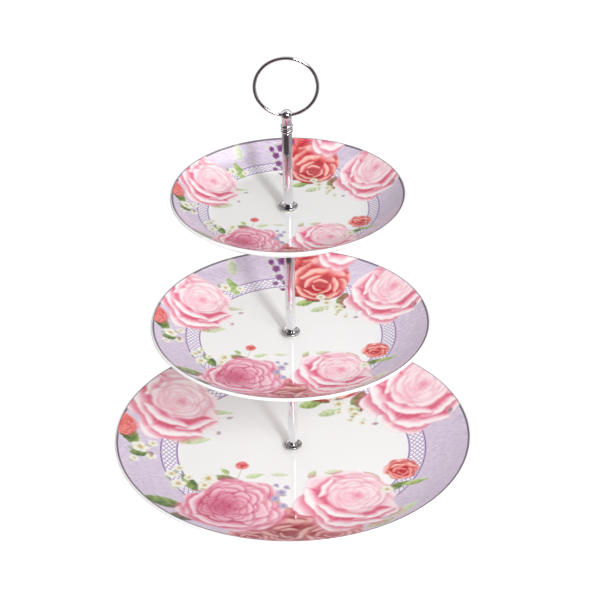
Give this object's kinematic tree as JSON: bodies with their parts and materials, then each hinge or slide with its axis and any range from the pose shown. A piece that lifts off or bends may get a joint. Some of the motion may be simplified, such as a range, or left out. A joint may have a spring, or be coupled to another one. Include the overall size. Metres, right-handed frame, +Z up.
{
  "type": "tiered cake stand",
  "caption": "Three-tier cake stand: round coupe plates of falling size on a screwed metal spindle, with a ring handle that tilts.",
  "frame": {"origin": "on the spindle's axis, at the underside of the bottom plate's foot ring", "axes": "+Z up along the spindle; the upright ring handle's plane is XZ, so -Y is the front"},
  "size_m": [0.26, 0.26, 0.3266],
  "materials": {
    "porcelain": "glossy glaze",
    "chrome": "polished",
    "steel": "zinc plated, satin",
    "seal": "soft, matte"
  },
  "bodies": {
    "base": {"bottom_plate": "porcelain", "base_screw": "steel", "bottom_under_gasket": "seal", "bottom_under_washer": "steel", "bottom_top_gasket": "seal"},
    "lower_washer": {"bottom_cup_washer": "chrome"},
    "lower_spindle": {"lower_rod": "chrome", "middle_stud": "steel", "middle_under_washer": "steel"},
    "middle_tier": {"middle_plate": "porcelain", "middle_under_gasket": "seal", "middle_top_gasket": "seal"},
    "upper_washer": {"middle_cup_washer": "chrome"},
    "upper_spindle": {"upper_rod": "chrome", "top_stud": "steel", "top_under_washer": "steel"},
    "top_tier": {"top_plate": "porcelain", "top_under_gasket": "seal", "top_top_gasket": "seal"},
    "handle_washer": {"top_cup_washer": "chrome"},
    "handle": {"handle_rod": "chrome", "finial": "chrome"},
    "ring": {"ring_handle": "chrome"}
  },
  "joints": [
    {"name": "lower_rod_rise", "type": "slide", "parent": "base", "child": "lower_washer", "axis": [0, 0, 1], "range_m": [0, 0.007]},
    {"name": "lower_rod_unscrew", "type": "hinge", "parent": "lower_washer", "child": "lower_spindle", "pos_m": [0, 0, 0], "axis": [0, 0, 1], "range_deg": [0, 3600]},
    {"name": "middle_plate_turn", "type": "hinge", "parent": "lower_spindle", "child": "middle_tier", "pos_m": [0, 0, 0], "axis": [0, 0, 1], "continuous": true},
    {"name": "upper_rod_rise", "type": "slide", "parent": "lower_spindle", "child": "upper_washer", "axis": [0, 0, 1], "range_m": [0, 0.007]},
    {"name": "upper_rod_unscrew", "type": "hinge", "parent": "upper_washer", "child": "upper_spindle", "pos_m": [0, 0, 0], "axis": [0, 0, 1], "range_deg": [0, 3600]},
    {"name": "top_plate_turn", "type": "hinge", "parent": "upper_spindle", "child": "top_tier", "pos_m": [0, 0, 0], "axis": [0, 0, 1], "continuous": true},
    {"name": "handle_rise", "type": "slide", "parent": "upper_spindle", "child": "handle_washer", "axis": [0, 0, 1], "range_m": [0, 0.007]},
    {"name": "handle_unscrew", "type": "hinge", "parent": "handle_washer", "child": "handle", "pos_m": [0, 0, 0], "axis": [0, 0, 1], "range_deg": [0, 3600]},
    {"name": "ring_tilt", "type": "hinge", "parent": "handle", "child": "ring", "pos_m": [0, 0, 0.283], "axis": [1, 0, 0], "range_deg": [-168, 168]}
  ],
  "couplings": [
    {"joint": "lower_rod_unscrew", "follows": "lower_rod_rise", "rad_per_m": 8976},
    {"joint": "upper_rod_unscrew", "follows": "upper_rod_rise", "rad_per_m": 8976},
    {"joint": "handle_unscrew", "follows": "handle_rise", "rad_per_m": 8976}
  ]
}
